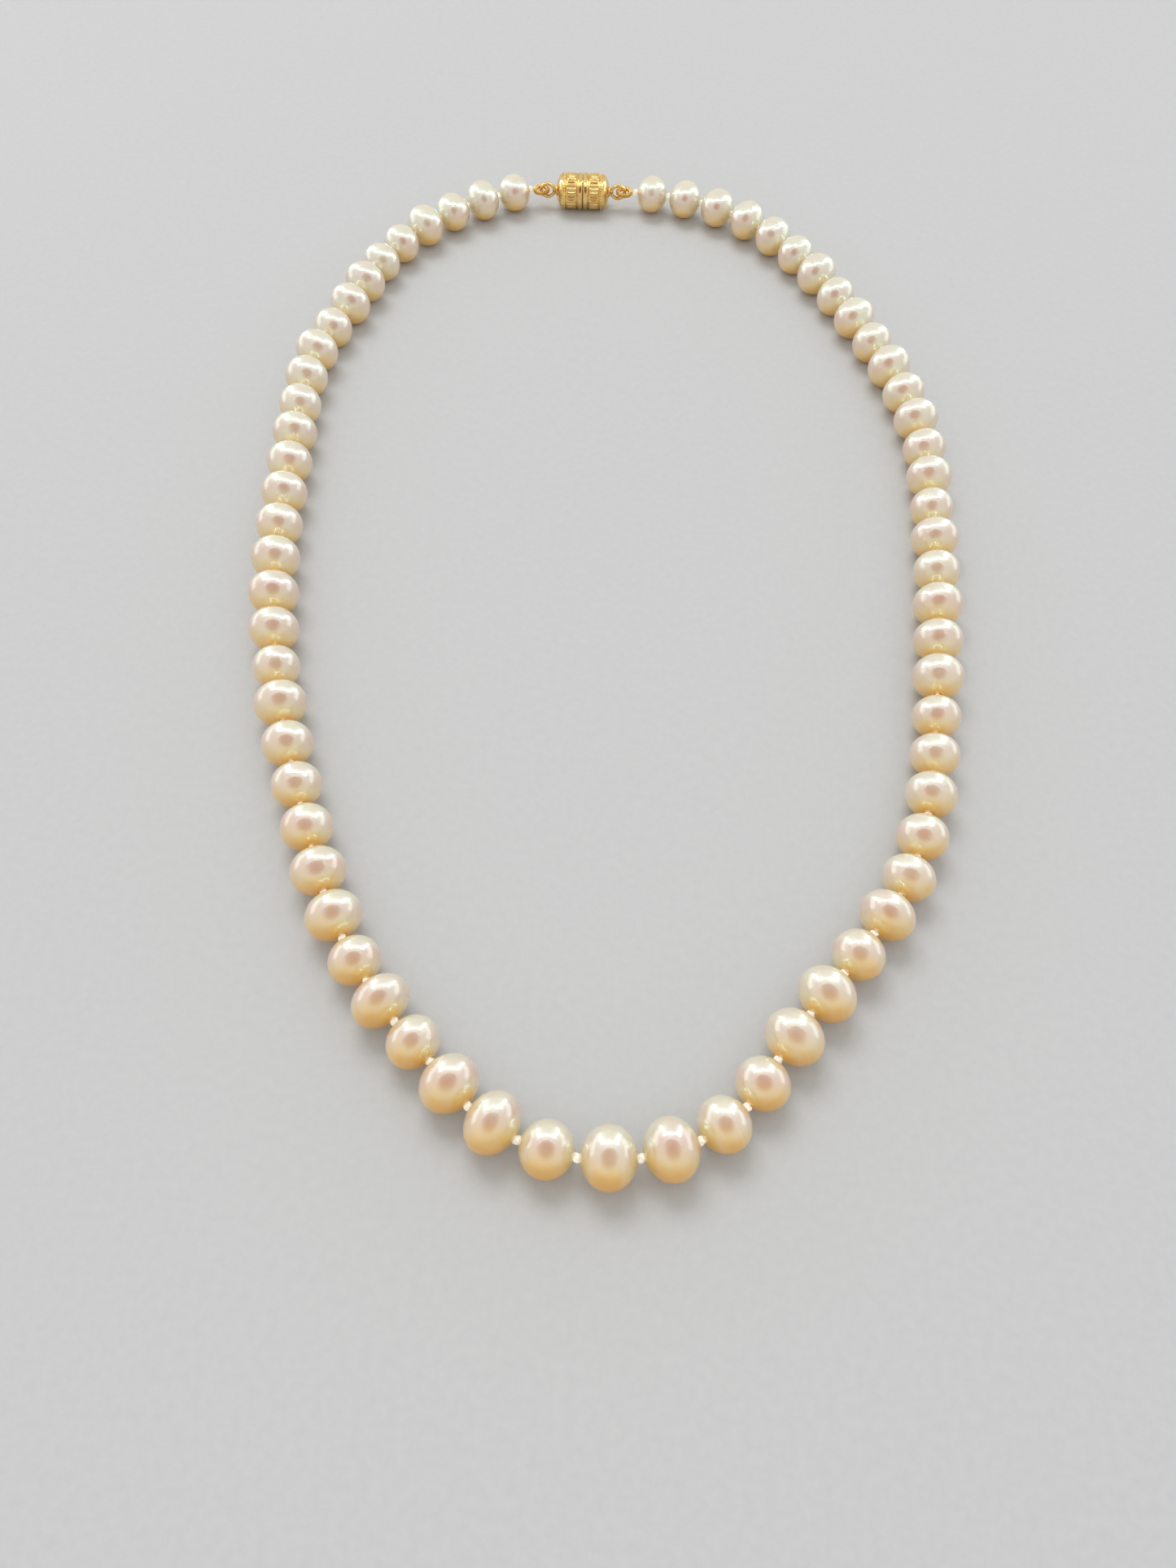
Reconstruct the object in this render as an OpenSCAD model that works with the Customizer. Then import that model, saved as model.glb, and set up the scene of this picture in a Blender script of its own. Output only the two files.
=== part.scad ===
// Knotted pearl necklace with a magnetic barrel clasp, closed and laid out flat.
//
// A row of drilled freshwater pearls hangs on one silk cord, with a knot between each two
// neighbours. The row is cut into short sections that turn on the knots between them, so that
// the necklace opens at the clasp and swings out. The left half is on -X, the front is on -Y
// and the clasp is on +Y. Millimetres, +Z up, standing on z = 0 and centred on its own outline.

/* [Pearls] */
// Mean diameter of a pearl, across the silk
pearl_d = 7.05; // [6.6:0.05:7.4]
// How much smaller the pearls beside the clasp are than those at the front
graduation = 0.15; // [0:0.05:0.6]
// Largest random difference in a pearl's diameter
size_spread = 0.35; // [0:0.05:0.5]
// Mean length of a pearl, along the silk
pearl_length = 6.2; // [5.8:0.05:6.6]
// Diameter of the drilled hole
hole_d = 0.9; // [0.8:0.05:1]
// Diameter of the hole at the pearl's surface, where its edge is broken
hole_rim_d = 1.4; // [1.3:0.02:1.5]

/* [Silk] */
// Diameter of the silk cord
silk_d = 0.56; // [0.4:0.02:0.6]
// Diameter of a knot
knot_d = 1.1; // [0.9:0.05:1.1]
// Room that a knot keeps between two pearls
knot_gap = 0.5; // [0.45:0.05:0.7]

/* [Clasp] */
// Outer diameter of the barrel
barrel_d = 6.4; // [5.8:0.1:6.8]
// Length of each half of the barrel
barrel_half = 5.2; // [4.8:0.1:6]
// Air left between the two mating faces
face_gap = 0.1; // [0.05:0.05:0.2]
// Diameter of the disc magnet in each half
magnet_d = 3.8; // [3:0.1:4]
// Thickness of the disc magnet
magnet_h = 2.5; // [2:0.1:3]
// Mean diameter of the eyelet ring
eyelet_d = 2.5; // [2.4:0.1:3]
// Diameter of the eyelet's wire
eyelet_wire = 0.64; // [0.5:0.02:0.7]
// Mean diameter of the bullion loop that guards the silk
bullion_d = 2.4; // [2.2:0.1:2.8]
// Thickness of the bullion loop
bullion_wire = 0.84; // [0.7:0.02:0.9]

/* [Hidden] */
// Number of sections on each half, and of pearls in each of them and in the front section
sections = 10;
section_pearls = 3;
front_pearls = 6;
half_pearls = sections * section_pearls;
pearls = 2 * half_pearls + front_pearls;

// Diameter and length of each of the pearls picked for the front, in the order of the row
first_picked = 24;
picked = [
    [7.2, 6.2], [7.3, 6.2], [6.7, 6.0], [7.5, 5.8], [6.8, 6.0], [7.4, 6.4],
    [7.5, 6.2], [6.8, 6.4], [7.4, 6.6], [7.4, 6.5], [6.7, 6.2], [6.7, 6.2],
    [7.4, 6.4], [7.4, 6.4], [6.7, 6.3], [7.3, 5.9], [6.9, 5.9], [6.8, 6.2]
];

// The line that the silk lies on, from the left half of the clasp round the front to the right
// half, in steps of about two pearls
clasp_mid = [-6.5, 89.5];
route = [
    [-17, 89], [-28, 83.5], [-37, 74.5], [-43, 63.5], [-46.5, 51.5], [-50.5, 39.5],
    [-51, 26.5], [-50.5, 13], [-50, -0.5], [-48.5, -14.5], [-46, -27.5], [-42.5, -40],
    [-38, -52.5], [-33, -65], [-26, -76], [-17.5, -85], [-12.5, -90], [-6, -93],
    [1, -94], [8, -93], [14.5, -90], [19, -85], [22.5, -79.5], [31, -69],
    [38.5, -58.5], [43, -46], [45.5, -32.5], [47.5, -19], [49, -5.5], [50, 8],
    [50.5, 21.5], [48.5, 34.5], [44.5, 47], [39.5, 59], [33.5, 70.5], [25.5, 80.5],
    [15.5, 87], [4, 89]
];

// The silk ends beside the clasp, at the far side of each bullion loop
end_knot_x = barrel_half + eyelet_wire / 2 + eyelet_d / 2 + bullion_d + bullion_wire / 2 + knot_d / 2;
bends = concat(
    [[clasp_mid.x - end_knot_x, clasp_mid.y]],
    [for (i = [1:len(route) - 2]) route[i]],
    [[clasp_mid.x + end_knot_x, clasp_mid.y]]
);

// A smooth curve through the bends, as short chords with their running length
chords_per_bend = 20;
function bend(i) = bends[max(0, min(len(bends) - 1, i))];
function between(a, b, c, d, t) =
    (2 * b + (c - a) * t + (2 * a - 5 * b + 4 * c - d) * t * t + (3 * b - a - 3 * c + d) * t * t * t) / 2;
curve = [
    for (i = [0:len(bends) - 2], j = [0:chords_per_bend - 1])
        between(bend(i - 1), bend(i), bend(i + 1), bend(i + 2), j / chords_per_bend),
    bends[len(bends) - 1]
];
last_chord = len(curve) - 1;
function chord(i) = norm(curve[min(i + 1, last_chord)] - curve[i]);
run = [for (i = 0, s = 0; i <= last_chord; s = s + chord(i), i = i + 1) s];
curve_x = [for (i = [0:last_chord]) [run[i], curve[i].x]];
curve_y = [for (i = [0:last_chord]) [run[i], curve[i].y]];
function on_curve(s) = [lookup(s, curve_x), lookup(s, curve_y)];

// Each pearl's diameter, and its share of the row. A knot lies at each end of every share
random_d = rands(-1, 1, pearls, 11);
random_length = rands(-0.2, 0.2, pearls, 23);
function from_front(i) = abs(i + 0.5 - pearls / 2) / (pearls / 2);
function is_picked(i) = i >= first_picked && i < first_picked + len(picked);
function diameter(i) = is_picked(i)
    ? picked[i - first_picked][0]
    : pearl_d + graduation * (0.5 - from_front(i)) + size_spread * random_d[i];
function share(i) = knot_gap + (is_picked(i)
    ? picked[i - first_picked][1]
    : pearl_length + 0.35 * (diameter(i) - pearl_d) + random_length[i]);
shares = [for (i = 0, s = 0; i <= pearls; s = s + share(min(i, pearls - 1)), i = i + 1) s];
stretch = run[last_chord] / shares[pearls];
loose_knots = [for (s = shares) on_curve(s * stretch)];

// The row is moved so that the outline of the whole necklace is centred on the origin
pearl_low = [for (i = [0:pearls - 1]) (loose_knots[i] + loose_knots[i + 1]) / 2 - [1, 1] * diameter(i) / 2];
pearl_high = [for (i = [0:pearls - 1]) (loose_knots[i] + loose_knots[i + 1]) / 2 + [1, 1] * diameter(i) / 2];
centre = [
    (min([for (p = pearl_low) p.x]) + max([for (p = pearl_high) p.x])) / 2,
    (min([for (p = pearl_low) p.y]) + max(clasp_mid.y + barrel_d / 2, max([for (p = pearl_high) p.y]))) / 2
];
knots = [for (p = loose_knots) p - centre];
clasp = clasp_mid - centre;

// Pearls and clasp all rest on z = 0, and a knot is as high as the mean of its neighbours
barrel_z = barrel_d / 2;
function axis_z(i) = i < 0 || i >= pearls ? barrel_z : diameter(i) / 2;
function knot_z(i) = (axis_z(i - 1) + axis_z(i)) / 2;
function middle(i) = (knots[i] + knots[i + 1]) / 2;
function heading(i) = atan2(knots[i + 1].y - knots[i].y, knots[i + 1].x - knots[i].x);
function body_length(i) = norm(knots[i + 1] - knots[i]) - knot_gap;

// Where a section ends on its neighbour's knot, its own silk starts just clear of that knot
knot_clearance = 0.03;
magnet_clearance = 0.02;
shank_d = 1;
shank_h = 1.2;
edge_r = 0.5;
dome_h = 1.6;
pearl_bands = 14;
dome_steps = 5;
$fn = 48;

// Numbers of the first pearl in each section. Sections are counted from the front to the clasp
function left_first(k) = half_pearls - k * section_pearls;
function right_first(k) = half_pearls + front_pearls + (k - 1) * section_pearls;
function numbered(name, k) = str(name, k < 10 ? "_0" : "_", k);

sides = ["left", "right"];
clasp_parts = ["clasp_barrel_", "clasp_magnet_", "clasp_eyelet_", "bullion_loop_"];

// Puts its children on the axis of pearl i, along the silk
module on_silk(i) {
    translate([middle(i).x, middle(i).y, axis_z(i)])
        rotate([0, 0, heading(i)])
            rotate([0, 90, 0])
                children();
}

// A pearl is a ball that is a little shorter than it is wide, drilled from end to end
module pearl(i) {
    rim_angle = acos(hole_rim_d / diameter(i));
    outside = [
        for (j = [0:pearl_bands])
            let (a = rim_angle * (2 * j / pearl_bands - 1))
                [diameter(i) / 2 * cos(a), body_length(i) / 2 * sin(a)]
    ];
    rim_z = outside[pearl_bands].y;
    hole_z = rim_z - (hole_rim_d - hole_d) / 2;
    on_silk(i)
        rotate_extrude()
            polygon(concat(outside, [[hole_d / 2, hole_z], [hole_d / 2, -hole_z]]));
}

module pearl_row(first, count) {
    color("linen")
        for (i = [first:first + count - 1])
            pearl(i);
}

// The silk through pearl i, cut back at an end that turns on a neighbour's knot
module silk_length(i, cut_low, cut_high) {
    whole = norm(knots[i + 1] - knots[i]);
    cut = knot_d / 2 + knot_clearance;
    low = cut_low ? cut : 0;
    high = cut_high ? cut : 0;
    on_silk(i)
        translate([0, 0, low - whole / 2])
            cylinder(d = silk_d, h = whole - low - high);
}

module knot(i) {
    translate([knots[i].x, knots[i].y, knot_z(i)])
        rotate([0, 0, heading(min(i, pearls - 1)) + 90])
            sphere(d = knot_d);
}

module silk_row(first, count, cut_low, cut_high) {
    last = first + count - 1;
    color("ivory") {
        for (i = [first:last])
            silk_length(i, cut_low && i == first, cut_high && i == last);
        for (i = [first + (cut_low ? 1 : 0):last + (cut_high ? 0 : 1)])
            knot(i);
    }
}

// Puts its children in the middle of the clasp, with +Z along the left or the right half
module on_clasp(side) {
    translate([clasp.x, clasp.y, barrel_z])
        rotate([0, side == "left" ? -90 : 90, 0])
            children();
}

// Half of the barrel: a thick shell with a domed end, open at its mating face for the magnet
module clasp_barrel(side) {
    r = barrel_d / 2;
    face = face_gap / 2;
    face_edge = [[0, face], [r - edge_r, face], [r, face + edge_r]];
    dome_z = barrel_half - dome_h;
    dome = [
        for (j = [0:dome_steps])
            let (a = 75 * j / dome_steps)
                [r * cos(a), dome_z + dome_h * sin(a) / sin(75)]
    ];
    color("gold")
        on_clasp(side)
            difference() {
                rotate_extrude()
                    polygon(concat(face_edge, dome, [[0, barrel_half]]));
                cylinder(d = magnet_d + 2 * magnet_clearance, h = face + magnet_h + magnet_clearance);
                translate([0, 0, barrel_half - shank_h])
                    cylinder(d = shank_d, h = shank_h + 1);
            }
}

module clasp_magnet(side) {
    color("silver")
        on_clasp(side)
            translate([0, 0, face_gap / 2])
                cylinder(d = magnet_d, h = magnet_h);
}

// A wire ring that stands upright, with a shank that is soldered into the barrel's end
module clasp_eyelet(side) {
    ring_z = barrel_half + eyelet_wire / 2 + eyelet_d / 2;
    color("gold")
        on_clasp(side) {
            translate([0, 0, ring_z])
                rotate([90, 0, 0])
                    rotate_extrude()
                        translate([eyelet_d / 2, 0])
                            circle(d = eyelet_wire);
            translate([0, 0, barrel_half - shank_h])
                cylinder(d = shank_d, h = shank_h + eyelet_wire / 2);
        }
}

// A tube of coiled gold wire that lies flat, through the eyelet, with the silk inside
module bullion_loop(side) {
    loop_z = barrel_half + eyelet_wire / 2 + eyelet_d / 2 + bullion_d / 2;
    color("goldenrod")
        on_clasp(side)
            translate([0, 0, loop_z])
                rotate([0, 90, 0])
                    rotate_extrude()
                        translate([bullion_d / 2, 0])
                            circle(d = bullion_wire);
}

pearl_row(half_pearls, front_pearls);  // pearls_front
silk_row(half_pearls, front_pearls, false, false);  // silk_front
for (k = [1:sections]) {
    pearl_row(left_first(k), section_pearls);
    silk_row(left_first(k), section_pearls, false, true);
    pearl_row(right_first(k), section_pearls);
    silk_row(right_first(k), section_pearls, true, false);
}
for (side = sides) {
    clasp_barrel(side);
    clasp_magnet(side);
    clasp_eyelet(side);
    bullion_loop(side);
}
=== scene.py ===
import math

import bpy
import numpy as np
from mathutils import Matrix, Vector


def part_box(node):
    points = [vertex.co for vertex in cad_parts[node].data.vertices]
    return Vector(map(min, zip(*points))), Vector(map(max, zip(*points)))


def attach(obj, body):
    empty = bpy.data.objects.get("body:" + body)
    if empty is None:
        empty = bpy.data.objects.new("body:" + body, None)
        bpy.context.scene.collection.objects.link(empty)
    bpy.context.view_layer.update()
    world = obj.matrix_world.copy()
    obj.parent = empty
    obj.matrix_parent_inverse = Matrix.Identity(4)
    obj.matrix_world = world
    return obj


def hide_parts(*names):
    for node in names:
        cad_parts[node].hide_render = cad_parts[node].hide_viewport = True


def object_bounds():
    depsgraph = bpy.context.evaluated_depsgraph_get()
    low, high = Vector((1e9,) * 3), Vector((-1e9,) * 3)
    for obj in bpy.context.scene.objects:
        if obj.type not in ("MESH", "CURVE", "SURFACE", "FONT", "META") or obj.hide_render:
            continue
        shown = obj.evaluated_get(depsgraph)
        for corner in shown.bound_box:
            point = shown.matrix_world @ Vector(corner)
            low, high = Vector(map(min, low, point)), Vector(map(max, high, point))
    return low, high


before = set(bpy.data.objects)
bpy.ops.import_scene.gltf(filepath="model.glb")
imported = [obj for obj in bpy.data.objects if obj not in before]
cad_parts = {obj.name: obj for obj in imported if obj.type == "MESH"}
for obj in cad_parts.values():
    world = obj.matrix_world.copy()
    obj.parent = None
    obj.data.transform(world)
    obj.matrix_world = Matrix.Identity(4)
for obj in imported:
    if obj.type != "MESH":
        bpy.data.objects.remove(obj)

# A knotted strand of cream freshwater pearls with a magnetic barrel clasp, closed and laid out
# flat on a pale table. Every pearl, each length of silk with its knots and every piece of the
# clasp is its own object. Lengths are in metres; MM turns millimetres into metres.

MM = 0.001
TURN = 2 * math.pi
box_low, box_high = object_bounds()
middle = (box_low + box_high) / 2


# ---------------------------------------------------------------- camera

LENS = 27
LOOK_DOWN = math.radians(57.87)
CAMERA_ROLL = math.radians(-1.77)
CAMERA_DISTANCE = 154.4 * MM
AIM_FROM_MIDDLE = Vector((-1.7, -43.1, -0.2)) * MM


def make_camera():
    """Looks down at the front of the strand from close by."""
    ahead = Vector((0, math.cos(LOOK_DOWN), -math.sin(LOOK_DOWN)))
    level, risen = Vector((1, 0, 0)), Vector((0, math.sin(LOOK_DOWN), math.cos(LOOK_DOWN)))
    across = math.cos(CAMERA_ROLL) * level - math.sin(CAMERA_ROLL) * risen
    up = math.sin(CAMERA_ROLL) * level + math.cos(CAMERA_ROLL) * risen
    data = bpy.data.cameras.new("camera")
    data.lens = LENS
    data.sensor_width = 36
    data.clip_start = 5 * MM
    data.clip_end = 50
    camera = bpy.data.objects.new("camera", data)
    camera.matrix_world = Matrix.Translation(middle + AIM_FROM_MIDDLE - ahead * CAMERA_DISTANCE) @ (
        Matrix((across, up, -ahead)).transposed().to_4x4()
    )
    bpy.context.scene.collection.objects.link(camera)
    bpy.context.scene.camera = camera


make_camera()


# ---------------------------------------------------------------- reading the strand from the frame


def loose_parts(mesh):
    """The points of each loose part of a mesh, one array for each. Points in one place count as one."""
    everywhere = np.round(np.array([v.co for v in mesh.vertices], float), 7)
    points, same = np.unique(everywhere, axis=0, return_inverse=True)
    edges = same.ravel()[np.array([e.vertices[:] for e in mesh.edges])]
    label = np.arange(len(points))
    while True:
        low = np.minimum(label[edges[:, 0]], label[edges[:, 1]])
        new = label.copy()
        np.minimum.at(new, edges[:, 0], low)
        np.minimum.at(new, edges[:, 1], low)
        new = new[new]
        if (new == label).all():
            return [points[label == k] for k in np.unique(label)]
        label = new


def measure_pearl(points):
    """Centre, silk axis, diameter across the silk and length along it, of a drilled CAD pearl."""
    low, high = points.min(0), points.max(0)
    centre, diameter = (low + high) / 2, (high - low)[2]
    x, y, z = (points - centre)[abs(points[:, 2] - centre[2]) > diameter / 10].T
    form = np.linalg.lstsq(np.stack([x * x, x * y, y * y, z * z], 1), np.ones(len(x)), rcond=None)[0]
    values, vectors = np.linalg.eigh([[form[0], form[1] / 2], [form[1] / 2, form[2]]])
    axis = np.append(vectors[:, 1], 0)
    return {"centre": centre, "axis": axis, "diameter": diameter, "length": 2 / math.sqrt(values[1])}


def read_strand():
    """Every pearl in order along the silk, from the left half of the clasp to the right half."""
    left = []
    for node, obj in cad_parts.items():
        if node.startswith("pearls_"):
            for points in loose_parts(obj.data):
                left.append({"node": node, "body": node[len("pearls_"):], **measure_pearl(points)})
    here = np.array(sum(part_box("bullion_loop_left"), Vector()) / 2)
    row = []
    while left:
        nearest = left.pop(int(np.argmin([np.linalg.norm(pearl["centre"] - here) for pearl in left])))
        if nearest["axis"] @ (nearest["centre"] - here) < 0:
            nearest["axis"] = -nearest["axis"]
        here = nearest["centre"]
        row.append(nearest)
    return row


strand = read_strand()


def face(pearl, side):
    """Where the silk leaves a pearl: side is -1 towards the left end and 1 towards the right."""
    return pearl["centre"] + side * pearl["axis"] * pearl["length"] / 2


def find_knots():
    """The middle of each knot: one before the first pearl, one after each pearl."""
    gaps = [np.linalg.norm(face(b, -1) - face(a, 1)) for a, b in zip(strand, strand[1:])]
    half = np.median(gaps) / 2
    first = face(strand[0], -1) - half * strand[0]["axis"]
    last = face(strand[-1], 1) + half * strand[-1]["axis"]
    return [first] + [(face(a, 1) + face(b, -1)) / 2 for a, b in zip(strand, strand[1:])] + [last]


knots = find_knots()


# ---------------------------------------------------------------- mesh helpers


def mesh_object(name, points, faces, smooth=True):
    """A new object in the scene, from points and faces."""
    mesh = bpy.data.meshes.new(name)
    mesh.from_pydata([tuple(p) for p in points], [], [tuple(f) for f in faces])
    if smooth:
        mesh.shade_smooth()
    mesh.validate()
    obj = bpy.data.objects.new(name, mesh)
    bpy.context.scene.collection.objects.link(obj)
    return obj


def grid_faces(rows, columns, close_rows=False):
    """Quads between the points of a grid that is closed round its columns."""
    faces = []
    for i in range(rows if close_rows else rows - 1):
        a, b = i * columns, (i + 1) % rows * columns
        for j in range(columns):
            k = (j + 1) % columns
            faces.append((a + j, a + k, b + k, b + j))
    return faces


class Pile:
    """Collects parts of one mesh."""

    def __init__(self):
        self.points, self.faces = [], []

    def add(self, points, faces):
        start = len(self.points)
        self.points.extend(np.asarray(points).tolist())
        self.faces.extend([tuple(start + n for n in f) for f in faces])


def lathe(profile, around, radius_at=None):
    """Turns a profile of (radius, height) points round Z. The first and last point lie on the axis.
    radius_at, a function of radius, height and angle, gives the radius where it isn't round."""
    inner = profile[1:-1]
    angle = np.arange(around) * TURN / around
    points = []
    for radius, height in inner:
        r = radius_at(radius, height, angle) if radius_at else np.full(around, radius)
        points.append(np.stack([r * np.cos(angle), r * np.sin(angle), np.full(around, height)], 1))
    points = np.concatenate(points + [[(0, 0, profile[0][1]), (0, 0, profile[-1][1])]])
    faces = grid_faces(len(inner), around)
    low, high = len(points) - 2, len(points) - 1
    last = (len(inner) - 1) * around
    for j in range(around):
        k = (j + 1) % around
        faces.append((low, k, j))
        faces.append((high, last + j, last + k))
    return points, faces


def arc(centre, radius, start, end, steps):
    """Profile points on an arc, with its angles in degrees."""
    angles = np.radians(np.linspace(start, end, steps))
    return [(centre[0] + radius * math.cos(a), centre[1] + radius * math.sin(a)) for a in angles]


def ball(radius, end, rings, around):
    """A ball with rings from -end to end, as angles from its waist in degrees, and a point above."""
    return lathe([(0, -radius), *arc((0, 0), radius, -end, end, rings), (0, radius)], around)


def sweep(path, radius, around, closed=False, plies=0, pitch=1.2 * MM, groove=0.16):
    """A tube along a path. With plies, its section is that of so many strands twisted together, one
    turn for each pitch, with grooves between them of that share of the radius."""
    path = np.asarray(path, float)
    count = len(path)
    if closed:
        ahead = np.roll(path, -1, 0) - np.roll(path, 1, 0)
    else:
        ahead = np.gradient(path, axis=0)
    ahead /= np.linalg.norm(ahead, axis=1)[:, None]
    side = np.cross(ahead[0], (0.3, 0.1, 1))
    sides = []
    for t in ahead:
        side = side - t * (side @ t)
        side = side / np.linalg.norm(side)
        sides.append(side)
    sides = np.array(sides)
    steps = np.linalg.norm(np.diff(path, axis=0), axis=1)
    run = np.concatenate([[0], np.cumsum(steps)])
    angle = np.arange(around) * TURN / around
    points = []
    for i in range(count):
        other = np.cross(ahead[i], sides[i])
        if plies:
            lobes = abs(np.cos((angle * plies - TURN * run[i] * plies / pitch) / 2))
            r = radius * (1 - groove + groove * lobes)
        else:
            r = np.full(around, radius)
        section = np.outer(np.cos(angle), sides[i]) + np.outer(np.sin(angle), other)
        points.append(path[i] + r[:, None] * section)
    points = np.concatenate(points)
    faces = grid_faces(count, around, closed)
    if not closed:
        faces.append(tuple(range(around)))
        faces.append(tuple(range(count * around - 1, (count - 1) * around - 1, -1)))
    return points, [tuple(reversed(f)) for f in faces]


# ---------------------------------------------------------------- material helpers


class Nodes:
    """The node tree of a material or world, with short ways to add and link nodes."""

    def __init__(self, owner):
        owner.use_nodes = True
        self.owner = owner
        self.tree = owner.node_tree
        self.shader = self.tree.nodes.get("Principled BSDF") or self.tree.nodes["Background"]

    def new(self, kind, inputs=None, **settings):
        node = self.tree.nodes.new(kind)
        for key, value in settings.items():
            setattr(node, key, value)
        for key, value in (inputs or {}).items():
            self.put(node, key, value)
        return node

    def put(self, node, key, value):
        """Links value to the input if it is another node's output, and sets it otherwise."""
        socket = node.inputs[key]
        if isinstance(value, bpy.types.NodeSocket):
            self.tree.links.new(value, socket)
        else:
            socket.default_value = value

    def set(self, **values):
        """Sets or links the shader's own sockets, with _ for a space."""
        for key, value in values.items():
            self.put(self.shader, key.replace("_", " "), value)

    def bump(self, height, strength, distance):
        """The shader's normal from a height of 0 to 1, with its distance in millimetres."""
        inputs = {"Height": height, "Strength": strength, "Distance": distance * MM}
        self.set(Normal=self.new("ShaderNodeBump", inputs).outputs[0])

    def maths(self, operation, a, b=0.0):
        return self.new("ShaderNodeMath", {0: a, 1: b}, operation=operation).outputs[0]

    def ramp(self, value, low, high, to_low=0.0, to_high=1.0):
        """Eases from to_low to to_high while value goes from low to high."""
        inputs = {0: value, 1: low, 2: high, 3: to_low, 4: to_high}
        return self.new("ShaderNodeMapRange", inputs, interpolation_type="SMOOTHSTEP").outputs[0]

    def mix(self, share, a, b):
        """Two colours."""
        return self.new("ShaderNodeMix", {0: share, 6: a, 7: b}, data_type="RGBA").outputs[2]

    def mix_value(self, share, a, b):
        """Two numbers."""
        return self.new("ShaderNodeMix", {0: share, 2: a, 3: b}, data_type="FLOAT").outputs[0]

    def noise(self, at, scale, detail=2.0, rough=0.5):
        inputs = {"Vector": at, "Scale": scale, "Detail": detail, "Roughness": rough}
        return self.new("ShaderNodeTexNoise", inputs).outputs["Fac"]

    def attribute(self, name):
        return self.new("ShaderNodeAttribute", attribute_name=name).outputs["Fac"]

    def part(self, vector, number):
        """The X, Y or Z of a vector, as 0, 1 or 2."""
        return self.new("ShaderNodeSeparateXYZ", {0: vector}).outputs[number]

    def here(self):
        """Position in the object's own axes, in millimetres."""
        inputs = {0: self.new("ShaderNodeTexCoord").outputs["Object"], "Scale": 1 / MM}
        return self.new("ShaderNodeVectorMath", inputs, operation="SCALE").outputs[0]


def colour(red, green, blue):
    """An sRGB colour of 0 to 255 as the linear numbers that a socket takes."""
    linear = [((c / 255 + 0.055) / 1.055) ** 2.4 if c > 10 else c / 3294 for c in (red, green, blue)]
    return (*linear, 1)


# ---------------------------------------------------------------- materials


ROSE = colour(242, 184, 160), colour(238, 170, 150)
CREAM = colour(242, 218, 184), colour(240, 206, 182)
# The next two colours are painted shade: golden tones on the side of each pearl that lies in warm
# shade.
SHADE_GOLDEN, DEEP_SHADE_GOLDEN = colour(255, 206, 104), colour(238, 168, 30)
RING_PALE = colour(252, 236, 220)


def nacre():
    """Nacre with a rosy waist, cream ends, clouds, rings and fine skin, and with painted light and
    shade: a cream side where the light falls and a golden side in warm shade.

    Each pearl carries three attributes. tone is how creamy it is, seed shifts its pattern, and the
    third goes from -1 on its lit, cream side to 1 on its golden side of painted warm shade."""
    n = Nodes(bpy.data.materials.new("nacre"))
    tone = n.attribute("tone")
    seed = n.attribute("seed")
    here = n.here()
    offset = n.new("ShaderNodeCombineXYZ", {0: seed, 1: n.maths("MULTIPLY", seed, 1.7)}).outputs[0]
    at = n.new("ShaderNodeVectorMath", {0: here, 1: offset}, operation="ADD").outputs[0]
    along = n.part(here, 2)

    cloud = n.noise(at, 0.32)
    patches = n.ramp(cloud, 0.34, 0.66)
    rose = n.mix(patches, *ROSE)
    cream = n.mix(patches, *CREAM)
    away = n.ramp(n.maths("ABSOLUTE", along), 1.3, 2.7)
    body = n.mix(n.maths("MAXIMUM", away, n.maths("MULTIPLY", tone, 0.6)), rose, cream)

    # Painted light and shade: each pearl is cream on its lit side and golden on its side in warm shade,
    # with a wavering edge between them.
    waver = n.maths("MULTIPLY", n.maths("SUBTRACT", cloud, 0.5), 0.5)
    fall = n.maths("ADD", n.attribute("fall"), waver)
    body = n.mix(n.ramp(fall, -0.2, -0.8), body, cream)
    body = n.mix(n.ramp(fall, -0.35, 0.65, 0.0, 0.95), body, SHADE_GOLDEN)
    body = n.mix(n.ramp(fall, 0.25, 1.0), body, DEEP_SHADE_GOLDEN)

    ring_place = n.new("ShaderNodeCombineXYZ", {0: n.maths("MULTIPLY", along, 1.6), 1: seed}).outputs[0]
    ring_inputs = {"Vector": ring_place, "Scale": 1.0, "Detail": 0.0}
    rings = n.new("ShaderNodeTexNoise", ring_inputs, noise_dimensions="2D").outputs["Fac"]
    ringed = n.maths("MULTIPLY", n.ramp(rings, 0.5, 0.8, 0.0, 0.16), n.ramp(tone, 0.45, 0.8))
    n.set(Base_Color=n.mix(ringed, body, RING_PALE))

    skin = n.noise(at, 1.1)
    n.bump(skin, 0.1, 0.05)
    n.set(
        Roughness=n.ramp(skin, 0.3, 0.75, 0.3, 0.38),
        # Less gloss on the side of painted warm shade.
        Specular_IOR_Level=n.ramp(fall, -0.1, 0.8, 0.64, 0.12),
        Coat_Weight=n.ramp(fall, 0.2, 0.9, 1.0, 0.7),
        IOR=3.0,
        Specular_Tint=(0.72, 1.0, 0.96, 1),
        Subsurface_Weight=0.25,
        Subsurface_Radius=(1.0, 0.7, 0.4),
        Subsurface_Scale=0.8 * MM,
        Coat_Roughness=0.09,
        Coat_IOR=2.2,
        Coat_Tint=(0.98, 1.0, 0.99, 1),
    )
    return n.owner


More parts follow.
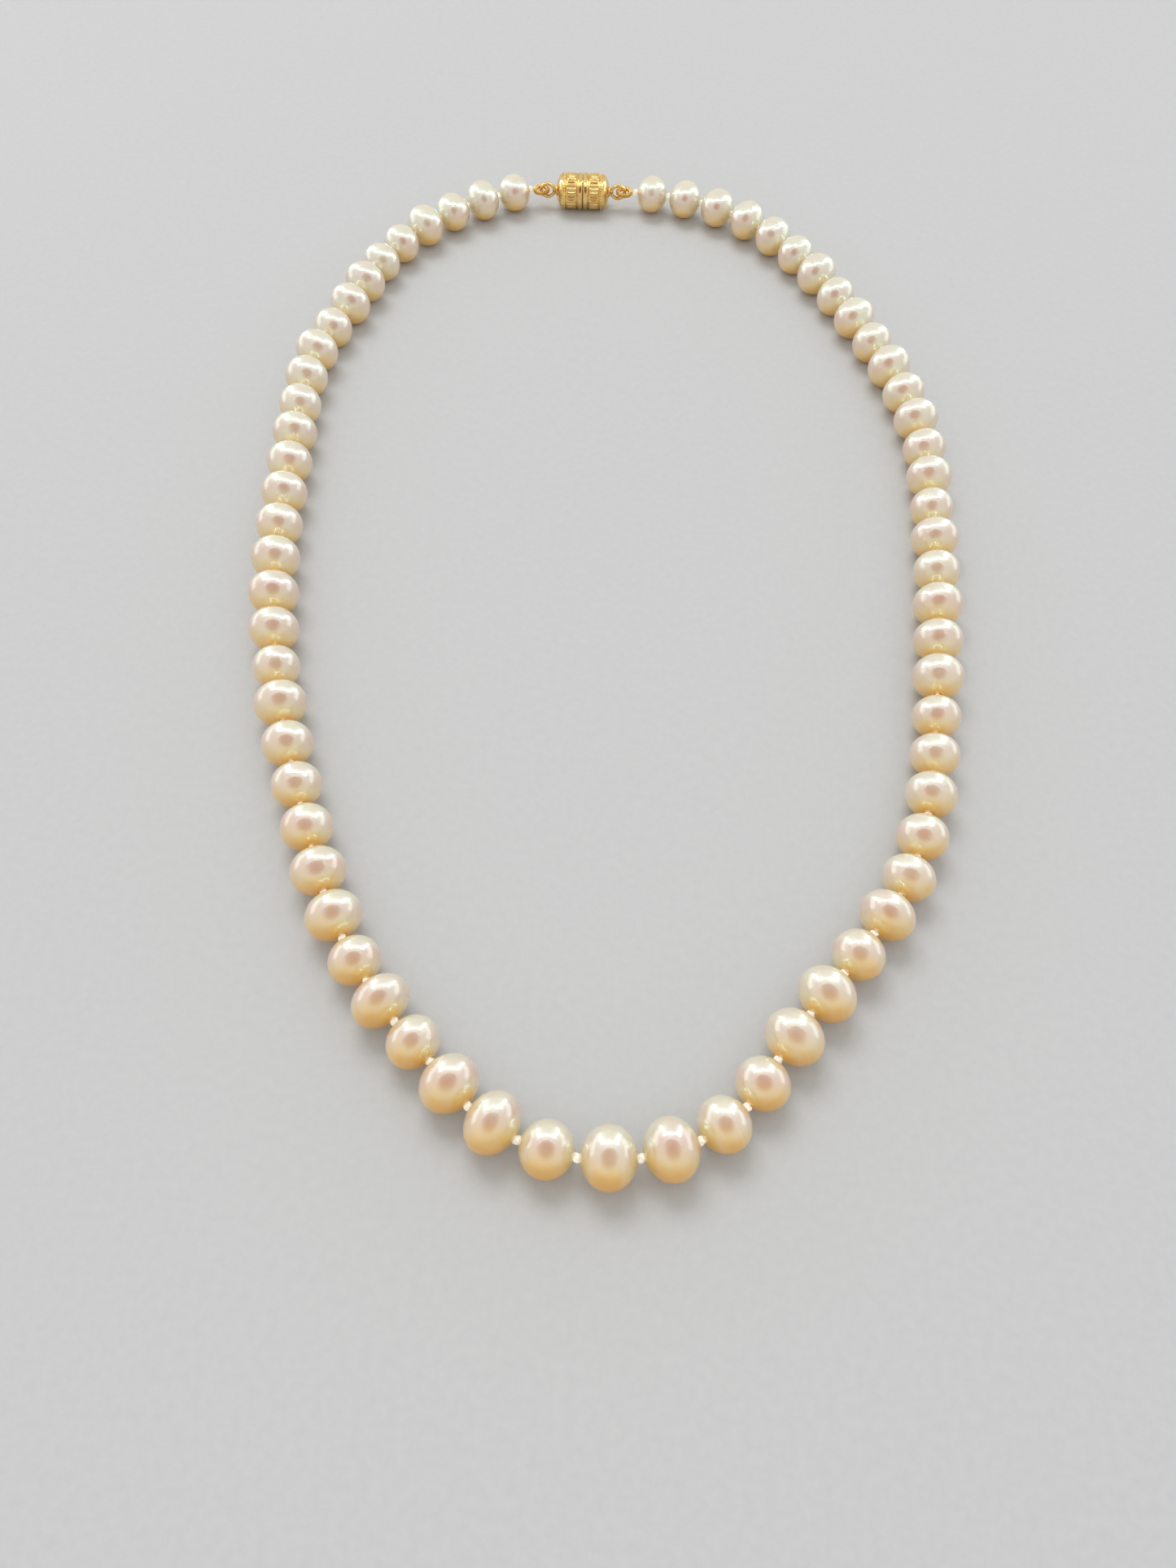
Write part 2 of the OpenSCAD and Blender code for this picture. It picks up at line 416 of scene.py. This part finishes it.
def silk():
    """Off-white silk with fine fibres. Its faint emission is painted light: a glow that lifts the silk
    and its knots out of the shade between the pearls.
    """
    n = Nodes(bpy.data.materials.new("silk"))
    here = n.here()
    fibre = n.noise(here, 14.0, detail=4.0, rough=0.7)
    soiled = n.ramp(n.noise(here, 0.5), 0.45, 0.75, 0.0, 0.3)
    thread = n.mix(fibre, colour(255, 246, 230), colour(255, 254, 246))
    n.bump(fibre, 0.5, 0.05)
    n.set(
        Base_Color=n.mix(soiled, thread, colour(250, 234, 208)),
        Roughness=n.ramp(fibre, 0.3, 0.7, 0.55, 0.8),
        Sheen_Weight=1.0,
        Sheen_Roughness=0.5,
        Sheen_Tint=(1, 0.94, 0.86, 1),
        Subsurface_Weight=0.4,
        Subsurface_Radius=(1.0, 0.9, 0.8),
        Subsurface_Scale=0.4 * MM,
        # Painted light: a faint warm glow that brightens the knots lying in the shade between pearls.
        Emission_Color=(1.0, 0.9, 0.76, 1),
        Emission_Strength=0.24,
    )
    return n.owner


def metal(name, light, dark, smooth, worn):
    """Polished metal with hairline scratches and a soft change of tone and gloss."""
    n = Nodes(bpy.data.materials.new(name))
    here = n.here()
    tarnish = n.noise(here, 0.7, detail=3.0)
    hair = n.new("ShaderNodeMapping", {"Vector": here, "Scale": (9.0, 1.2, 9.0)}).outputs[0]
    scratch = n.noise(hair, 2.0, detail=4.0, rough=0.65)
    n.bump(scratch, 0.06, 0.02)
    n.set(
        Base_Color=n.mix(n.ramp(tarnish, 0.35, 0.7), light, dark),
        Roughness=n.ramp(n.maths("MULTIPLY", scratch, tarnish), 0.12, 0.42, smooth, worn),
        Metallic=1.0,
    )
    return n.owner


NACRE = nacre()
SILK = silk()
GOLD = metal("gold", colour(247, 214, 142), colour(232, 190, 112), 0.1, 0.26)
WIRE = metal("bullion_wire", colour(250, 212, 128), colour(228, 180, 96), 0.2, 0.36)
NICKEL = metal("nickel", colour(205, 203, 198), colour(178, 176, 172), 0.22, 0.42)


def finish_piece(obj, material, body, node):
    """Gives a piece its material and its body, and hides the CAD node that it stands for."""
    obj.data.materials.append(material)
    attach(obj, body)
    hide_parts(node)


# ---------------------------------------------------------------- pearls

PEARL_ROWS = 72
PEARL_AROUND = 112
RIM_D = 1.2 * MM  # where the drill hole's rounded edge begins
# The edge and wall of the hole, as a share of the rim's radius and a depth in millimetres.
HOLE_STEPS = ((0.95, 0.05), (0.8, 0.16), (0.75, 0.4))

# How far each kind of unevenness sinks the surface on average, as a share of the radius.
OVAL = 0.008
WAVES = 0.009
RIPPLES = 0.0018
RINGED_SHARE = 0.4  # share of the pearls with growth rings

# Each pearl carries painted warm shade on a golden side that faces the front of the strand and down,
# by this many degrees below level. It is weaker towards the back of the strand.
SHADE_TILT_FRONT = 14
SHADE_TILT_BACK = 58
SHADE_FADE = 0.3


def random_way(rng):
    way = rng.normal(size=3)
    return way / np.linalg.norm(way)


def swell(direction, rng, count, lowest, highest):
    """A smooth random field on the unit sphere, from about -1 to 1."""
    total = np.zeros(len(direction))
    for _ in range(count):
        way = random_way(rng)
        total += np.cos(direction @ way * rng.uniform(lowest, highest) + rng.uniform(0, TURN))
    return total / math.sqrt(count)


def growth_ring(direction, angle, rng):
    """A shallow, slightly wandering groove round the silk."""
    place, width = rng.uniform(-0.75, 0.75), rng.uniform(0.04, 0.12)
    wander = 0.05 * np.cos(angle - rng.uniform(0, TURN))
    depth = rng.uniform(0.002, 0.007)
    return depth * np.exp(-(((direction[:, 2] - place - wander) / width) ** 2))


def pit(direction, rng):
    away = np.arccos(np.clip(direction @ random_way(rng), -1, 1))
    depth, width = rng.uniform(0.003, 0.009), rng.uniform(0.06, 0.12)
    return depth * np.exp(-((away / width) ** 2))


def pearl_points(diameter, length, rng):
    """A slightly uneven drilled pearl round Z, always inside its ellipsoid."""
    rim = math.acos(RIM_D / diameter)
    latitude = np.repeat(np.linspace(-rim, rim, PEARL_ROWS), PEARL_AROUND)
    angle = np.tile(np.arange(PEARL_AROUND) * TURN / PEARL_AROUND, PEARL_ROWS)
    flat = np.cos(latitude)
    direction = np.stack([flat * np.cos(angle), flat * np.sin(angle), np.sin(latitude)], 1)
    points = direction * (diameter / 2, diameter / 2, length / 2)

    oval = np.cos(2 * (angle - rng.uniform(0, TURN))) * flat**2
    sunk = OVAL * (1 + oval) + WAVES * (1 + swell(direction, rng, 5, 1.5, 3.5) / 2)
    sunk += RIPPLES * (1 + swell(direction, rng, 6, 5, 9) / 2)
    if rng.random() < RINGED_SHARE:
        for _ in range(rng.integers(1, 4)):
            sunk += growth_ring(direction, angle, rng)
    for _ in range(rng.integers(0, 5)):
        sunk += pit(direction, rng)
    clear_of_rim = np.clip(flat / 0.45, 0, 1) ** 1.5
    points *= (1 - sunk * clear_of_rim)[:, None]

    low_rim, high_rim = points[:PEARL_AROUND], points[-PEARL_AROUND:]
    high_hole = [high_rim * (r, r, 1) - (0, 0, depth * MM) for r, depth in HOLE_STEPS]
    low_hole = [low_rim * (r, r, 1) + (0, 0, depth * MM) for r, depth in reversed(HOLE_STEPS)]
    return np.concatenate([points, *high_hole, *low_hole])


def add_attributes(mesh, **values):
    """Stores each value, which is one number or one for each point, for the material to read."""
    for name, value in values.items():
        layer = mesh.attributes.new(name, "FLOAT", "POINT")
        spread = np.broadcast_to(value, len(mesh.vertices)).astype(np.float32)
        layer.data.foreach_set("value", spread)


def make_pearls():
    rng = np.random.default_rng(7)
    faces = grid_faces(PEARL_ROWS + 2 * len(HOLE_STEPS), PEARL_AROUND, close_rows=True)
    up = Vector((0, 0, 1))
    for number, pearl in enumerate(strand, 1):
        diameter, length = pearl["diameter"], pearl["length"]
        points = pearl_points(diameter, length, rng)
        obj = mesh_object(f"pearl_{number:02d}", points, faces)
        axis = Vector(pearl["axis"])
        turned = Matrix((up, axis.cross(up), axis)).transposed()
        # The side of painted warm shade points further down on pearls further back; the opposite side
        # gets the painted cream of the lit side.
        back = (pearl["centre"][1] - box_low.y) / (box_high.y - box_low.y)
        tilt = math.radians(SHADE_TILT_FRONT + (SHADE_TILT_BACK - SHADE_TILT_FRONT) * back)
        shaded_way = turned.transposed() @ Vector((0, -math.cos(tilt), -math.sin(tilt)))
        fall = 2 * points / (diameter, diameter, length) @ np.array(shaded_way) - SHADE_FADE * back
        add_attributes(obj.data, tone=rng.beta(1.4, 2.2), seed=rng.uniform(0, 100), fall=fall)
        obj.matrix_world = Matrix.Translation(pearl["centre"]) @ turned.to_4x4()
        finish_piece(obj, NACRE, pearl["body"], pearl["node"])


# ---------------------------------------------------------------- silk

SILK_R = 0.27 * MM
SILK_STEP = 0.11 * MM
KNOT_R = 0.61 * MM
KNOT_TUBE_R = 0.2 * MM
KNOT_CORE_R = 0.42 * MM
KNOT_STEPS = 72
KNOT_HEIGHT = 1.9  # along the silk, against 1 for the plain curve of a trefoil knot


def knot_parts(centre, axis, rng):
    """A tight overhand knot: a loop of silk that passes three times over itself, and its core."""
    t = np.arange(KNOT_STEPS) * TURN / KNOT_STEPS
    x, y = np.sin(t) + 2 * np.sin(2 * t), np.cos(t) - 2 * np.cos(2 * t)
    loop = np.stack([x, y, -KNOT_HEIGHT * np.sin(3 * t)], 1) * (KNOT_R - KNOT_TUBE_R) / 3
    facing = Vector(axis).to_track_quat("Z", "Y").to_matrix()
    turned = facing @ Matrix.Rotation(rng.uniform(0, TURN), 3, "Z")
    path = loop @ np.array(turned).T + centre
    core, core_faces = ball(KNOT_CORE_R, 75, 9, 20)
    tube = sweep(path, KNOT_TUBE_R, 14, closed=True, plies=3, pitch=0.9 * MM)
    return tube, (core + centre, core_faces)


def straight(start, end):
    """Points from start to end, about SILK_STEP apart."""
    count = max(3, round(np.linalg.norm(end - start) / SILK_STEP))
    return start + np.linspace(0, 1, count)[:, None] * (end - start)


def make_silk():
    """The silk and knots of each body. A knot between two bodies goes with the one nearer the front."""
    rng = np.random.default_rng(21)
    for body in dict.fromkeys(pearl["body"] for pearl in strand):
        mine = [i for i, pearl in enumerate(strand) if pearl["body"] == body]
        first, last = mine[0], mine[-1]
        own_first = not body.startswith("right")
        own_last = not body.startswith("left")
        route = []
        for i in mine:
            route += [knots[i], strand[i]["centre"]]
        route.append(knots[last + 1])
        runs = [straight(a, b)[:-1] for a, b in zip(route, route[1:])]
        pile = Pile()
        pile.add(*sweep(np.concatenate([*runs, [route[-1]]]), SILK_R, 18, plies=3))
        for i in range(first + (not own_first), last + 1 + own_last):
            towards = strand[min(i, len(strand) - 1)]["axis"] + strand[max(i - 1, 0)]["axis"]
            for part in knot_parts(knots[i], towards, rng):
                pile.add(*part)
        obj = mesh_object(f"thread_{body}", pile.points, pile.faces)
        finish_piece(obj, SILK, body, f"silk_{body}")


# ---------------------------------------------------------------- clasp


FLUTES = 26
FLUTE_DEPTH = 0.17 * MM
BEADS = 44
BEAD_R = 0.17 * MM
BULLION_TURNS = 37
BULLION_WIRE_R = 0.075 * MM


def clasp_matrix(side):
    """Puts +Z along one half of the clasp, from the middle of the clasp, with Y to the side."""
    low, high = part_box("clasp_barrel_left")
    _, right_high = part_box("clasp_barrel_right")
    centre = Vector(((low.x + right_high.x) / 2, (low.y + high.y) / 2, (low.z + high.z) / 2))
    ahead = Vector((-1 if side == "left" else 1, 0, 0))
    up = Vector((0, 0, 1))
    return Matrix.Translation(centre) @ Matrix((up, ahead.cross(up), ahead)).transposed().to_4x4()


def along_clasp(node):
    """How far a node of the clasp reaches from the clasp's middle, as its nearest and furthest x."""
    low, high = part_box(node)
    x = clasp_matrix("right").translation.x
    return sorted((abs(low.x - x), abs(high.x - x)))


def half_height(node):
    low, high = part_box(node)
    return (high.z - low.z) / 2


def finish_clasp_piece(obj, side, material, node):
    obj.matrix_world = clasp_matrix(side)
    finish_piece(obj, material, f"{side}_10", node)


def make_barrel(side):
    """Half of the barrel: a lip at its mating face, a pocket for the magnet, a fluted wall, a row of
    beads and a domed end with a collar round the eyelet."""
    node = f"clasp_barrel_{side}"
    radius = half_height(node)
    near, far = along_clasp(node)
    _, magnet_far = along_clasp(f"clasp_magnet_{side}")
    pocket_r = half_height(f"clasp_magnet_{side}") + 0.03 * MM
    pocket_floor = magnet_far + 0.02 * MM
    bevel, edge, lip, groove = 0.1 * MM, 0.25 * MM, 0.9 * MM, 0.14 * MM
    wall_r = radius - 0.06 * MM
    dome_height = 1.7 * MM
    dome_foot = far - dome_height
    dome_end = math.radians(78)
    collar_r, collar_edge = 0.95 * MM, 0.16 * MM
    flute_low, flute_high = near + lip + 0.35 * MM, dome_foot - 0.5 * MM

    def groove_at(height):
        return arc((wall_r - groove * 0.4, height), groove, 250, 110, 7)

    def fluted(r, z, angle):
        inside = (z - flute_low) * (flute_high - z)
        if inside <= 0:
            return np.full(len(angle), r)
        ease = min(1, math.sqrt(inside) / (0.45 * (flute_high - flute_low)))
        return r - FLUTE_DEPTH * ease * (1 - abs(np.cos(angle * FLUTES / 2)))

    profile = [(0, pocket_floor), (pocket_r, pocket_floor), (pocket_r, near + bevel)]
    profile += [(pocket_r + bevel, near), (radius - edge - 0.5 * MM, near)]
    profile += arc((radius - edge, near + edge), edge, -90, 0, 7)
    profile += arc((radius - edge, near + lip - edge), edge, 0, 80, 7)
    profile += groove_at(near + lip + groove * 0.6)
    profile += [(wall_r, z) for z in np.linspace(flute_low, flute_high, 26)]
    profile += groove_at(flute_high + 0.2 * MM)
    for a in np.linspace(0, dome_end, 16):
        r = wall_r * math.cos(a)
        if r > collar_r:
            profile.append((r, dome_foot + 0.93 * dome_height * math.sin(a) / math.sin(dome_end)))
    profile.append((collar_r, profile[-1][1] + 0.01 * MM))
    profile += arc((collar_r - collar_edge, far - collar_edge), 0.155 * MM, 0, 90, 5)
    profile.append((0, far - 0.005 * MM))

    pile = Pile()
    pile.add(*lathe(profile, FLUTES * 10, fluted))
    for a in np.arange(BEADS) * TURN / BEADS:
        bead, bead_faces = ball(BEAD_R, 72, 7, 12)
        out = radius - BEAD_R
        pile.add(bead + (out * math.cos(a), out * math.sin(a), dome_foot - 0.02 * MM), bead_faces)
    obj = mesh_object(f"barrel_{side}", pile.points, pile.faces)
    finish_clasp_piece(obj, side, GOLD, node)


def make_magnet(side):
    """A disc with rounded edges."""
    node = f"clasp_magnet_{side}"
    radius = half_height(node)
    near, far = along_clasp(node)
    edge = 0.18 * MM
    profile = [(0, near)] + [(r, near) for r in np.linspace(0.2, 0.9, 8) * radius]
    profile += arc((radius - edge, near + edge), edge, -90, 0, 7)
    profile += arc((radius - edge, far - edge), edge, 0, 90, 7) + [(0, far)]
    obj = mesh_object(f"magnet_{side}", *lathe(profile, 96))
    finish_clasp_piece(obj, side, NICKEL, node)


def make_eyelet(side):
    """A ring of wire on a shank, with a fillet of solder where the shank leaves the barrel."""
    node = f"clasp_eyelet_{side}"
    low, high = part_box(node)
    near, far = along_clasp(node)
    _, barrel_end = along_clasp(f"clasp_barrel_{side}")
    shank_r = min((high.y - low.y) * 0.75, 0.5 * MM)
    wire_r, solder_r = 0.32 * MM, 0.3 * MM
    ring_r = (far - barrel_end) / 2 - wire_r
    centre = barrel_end + ring_r + wire_r
    t = np.arange(72) * TURN / 72
    path = np.stack([ring_r * np.cos(t), 0 * t, centre + ring_r * np.sin(t)], 1)
    pile = Pile()
    pile.add(*sweep(path, wire_r, 24, closed=True))
    foot = barrel_end + 2.1 * wire_r
    solder_height = barrel_end + 0.02 * MM
    profile = [(0, near), (shank_r, near), (shank_r, solder_height)]
    profile += arc((shank_r + solder_r, solder_height + solder_r), solder_r, 265, 205, 6)
    profile += [(shank_r * 0.62, foot - 0.12 * MM), (0, foot)]
    pile.add(*lathe(profile, 32))
    obj = mesh_object(f"eyelet_{side}", pile.points, pile.faces)
    finish_clasp_piece(obj, side, GOLD, node)


def make_bullion(side):
    """Fine coiled wire, bent into a loop through the eyelet."""
    node = f"bullion_loop_{side}"
    near, far = along_clasp(node)
    tube_r = half_height(node)
    loop_r = (far - near) / 2 - tube_r
    coil_r = tube_r - BULLION_WIRE_R
    steps = BULLION_TURNS * 14
    t = np.arange(steps) * TURN / steps
    out = loop_r + coil_r * np.cos(t * BULLION_TURNS)
    up = coil_r * np.sin(t * BULLION_TURNS)
    path = np.stack([up, out * np.cos(t), (near + far) / 2 + out * np.sin(t)], 1)
    obj = mesh_object(f"bullion_{side}", *sweep(path, BULLION_WIRE_R, 8, closed=True))
    finish_clasp_piece(obj, side, WIRE, node)


make_pearls()
make_silk()
for side in ("left", "right"):
    make_barrel(side)
    make_magnet(side)
    make_eyelet(side)
    make_bullion(side)


# ---------------------------------------------------------------- table, light and air


TABLE_HALF = 3.0
COOL, WARM = (0.9, 1.0, 1.0), (1.0, 0.99, 0.97)
AIR, AIR_TINT = 0.78, (0.985, 0.995, 0.97, 1)
CARD_STEPS = 64


def make_table():
    """A wide pale surface under the necklace."""
    ends = (-TABLE_HALF, TABLE_HALF)
    corners = [(x, y, box_low.z) for y in ends for x in ends]
    obj = mesh_object("table", corners, [(0, 1, 3, 2)], smooth=False)
    n = Nodes(bpy.data.materials.new("pale_table"))
    grain = n.noise(n.here(), 0.9, detail=4.0, rough=0.6)
    n.bump(grain, 0.25, 0.12)
    n.set(
        Base_Color=n.mix(grain, colour(196, 196, 198), colour(206, 206, 207)),
        Roughness=n.ramp(grain, 0.3, 0.7, 0.8, 0.95),
        Specular_IOR_Level=0.04,
    )
    obj.data.materials.append(n.owner)


def make_softbox(name, place, aim, width, height, power, level=(1, 0, 0), shows=True, lights=True):
    """A soft panel that faces aim, with its width along level. It can show in reflections, light what
    lies under it, or both."""
    data = bpy.data.lights.new(name, "AREA")
    data.shape = "RECTANGLE"
    data.size, data.size_y = width, height
    data.energy = power
    data.color = COOL if shows else WARM
    lamp = bpy.data.objects.new(name, data)
    level = Vector(level)
    back = (place - aim).normalized()
    across = (level - back * back.dot(level)).normalized()
    turned = Matrix((across, back.cross(across), back)).transposed().to_4x4()
    lamp.matrix_world = Matrix.Translation(place) @ turned
    lamp.visible_camera = False
    lamp.visible_glossy = shows
    lamp.visible_diffuse = lights
    bpy.context.scene.collection.objects.link(lamp)


def make_softboxes():
    """Strips, a bar and wings that show as the bright marks on the pearls, and the one key light."""
    front = Vector((middle.x, box_low.y, middle.z))
    for side, x in (("left", -1), ("right", 1)):
        strip = middle + Vector((x * 0.157, 0.1445, 0.11))
        wing = middle + Vector((x * 0.8, 0.25, 0.16))
        make_softbox(f"strip_{side}", strip, front, width=0.03, height=0.2, power=0.15, lights=False)
        make_softbox(
            f"wing_{side}", wing, front, width=0.7, height=0.32, power=0.55,
            level=(0, 1, 0), lights=False,
        )
    bar = middle + Vector((0, 0.05, 0.17))
    make_softbox("bar", bar, front, width=0.31, height=0.018, power=0.145, lights=False)
    key = middle + Vector((-0.25, 0.7, 1.3))
    make_softbox("key", key, middle, width=0.9, height=0.6, power=8.0, shows=False)


def make_card(name, inner, outer, start, end, glow, tint):
    """A flat card round the camera from one radius to another and one angle to another, in degrees
    from its right. It only shows as a reflection. It turns into the tone of the air towards its outer
    edge, but not near its top."""
    angles = np.radians(np.linspace(start, end, CARD_STEPS))
    points = [(r * math.cos(a), r * math.sin(a), 0) for r in (inner, outer) for a in angles]
    faces = [(j, j + 1, CARD_STEPS + j + 1, CARD_STEPS + j) for j in range(CARD_STEPS - 1)]
    card = mesh_object(name, points, faces, smooth=False)
    card.matrix_world = bpy.context.scene.camera.matrix_world
    n = Nodes(bpy.data.materials.new(name))
    here = n.here()
    reach = n.new("ShaderNodeVectorMath", {0: here}, operation="LENGTH").outputs["Value"]
    fade = n.maths("MULTIPLY", n.ramp(reach, 35, 125), n.ramp(n.part(here, 1), 85, -10))
    n.set(
        Emission_Color=n.mix(fade, tint, AIR_TINT),
        Emission_Strength=n.mix_value(fade, glow, AIR),
        Base_Color=(0, 0, 0, 1),
        Specular_IOR_Level=0.0,
    )
    card.data.materials.append(n.owner)
    card.visible_camera = card.visible_diffuse = card.visible_shadow = False
    card.visible_transmission = card.visible_volume_scatter = False


def make_air():
    """The inside of a light tent, a little brighter overhead."""
    n = Nodes(bpy.data.worlds.new("studio"))
    height = n.part(n.new("ShaderNodeTexCoord").outputs["Generated"], 2)
    n.set(
        Color=n.mix(height, (0.99, 0.99, 0.96, 1), (0.98, 1.0, 0.98, 1)),
        Strength=n.ramp(height, 0.0, 0.9, 0.76, 0.8),
    )
    bpy.context.scene.world = n.owner


make_table()
make_softboxes()
make_card("card", inner=0.001, outer=0.12, start=0, end=360, glow=0.26, tint=(1.0, 0.5, 0.4, 1))
make_card("card_rim", inner=0.122, outer=0.14, start=20, end=160, glow=1.6, tint=(0.9, 1.0, 1.0, 1))
make_air()
bpy.context.scene.view_settings.view_transform = "Standard"
